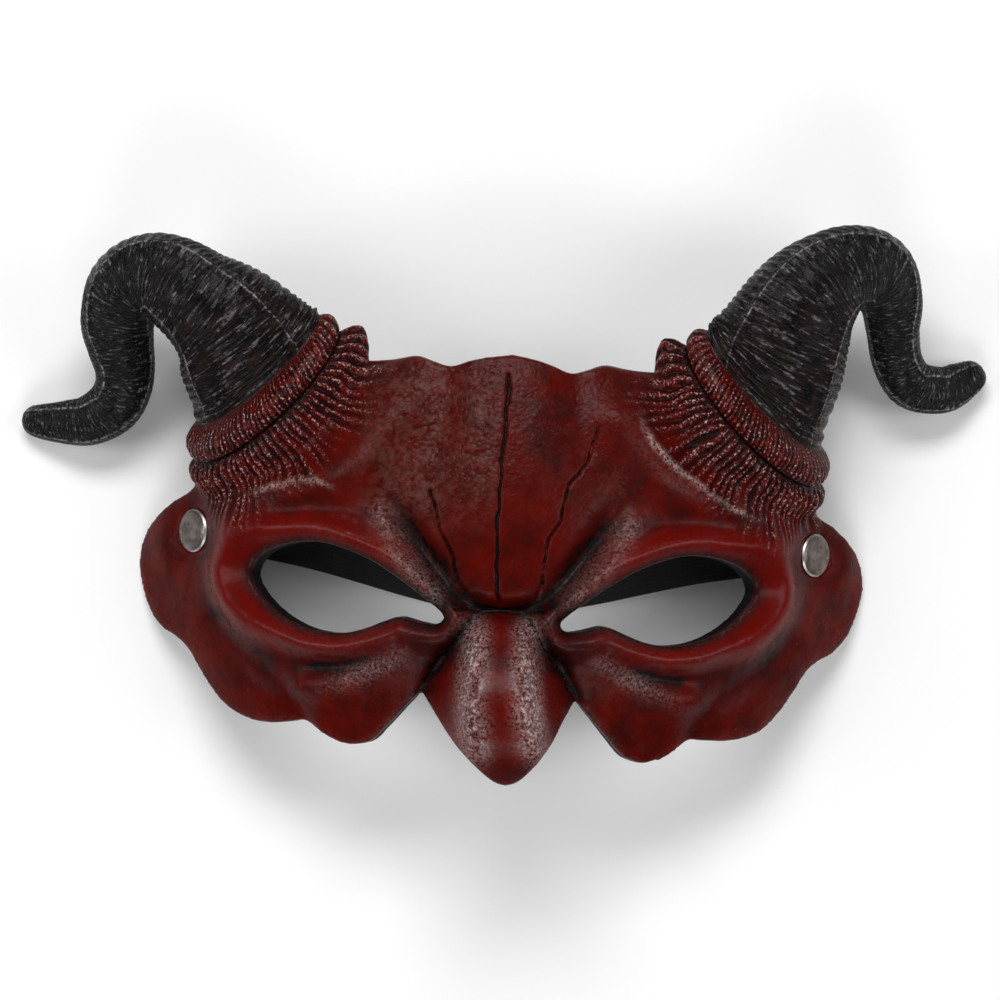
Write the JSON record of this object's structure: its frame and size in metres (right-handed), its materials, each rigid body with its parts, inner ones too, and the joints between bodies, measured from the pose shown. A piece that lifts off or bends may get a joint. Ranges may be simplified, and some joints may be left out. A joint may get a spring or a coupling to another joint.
{
  "type": "devil half face mask",
  "caption": "Costume half mask of painted foam with curling horns, flanged brows, open eyes and a beaked nose, worn on a riveted elastic strap.",
  "frame": {"origin": "on the surface that the mask lies on, under the middle of the mask's bounding box", "axes": "+X to the viewer's right across the face, +Y towards the forehead and horns, +Z out of the face, up from the surface"},
  "size_m": [0.3344, 0.19, 0.0947],
  "materials": {
    "painted_foam": "moulded polyurethane foam painted dark red with black wash, black horns, satin",
    "nickel": "worn nickel plate",
    "elastic": "black woven elastic, matt"
  },
  "bodies": {
    "root": {"mask": "painted_foam", "rivet_left": "nickel", "rivet_right": "nickel", "elastic_strap": "elastic"}
  },
  "joints": []
}
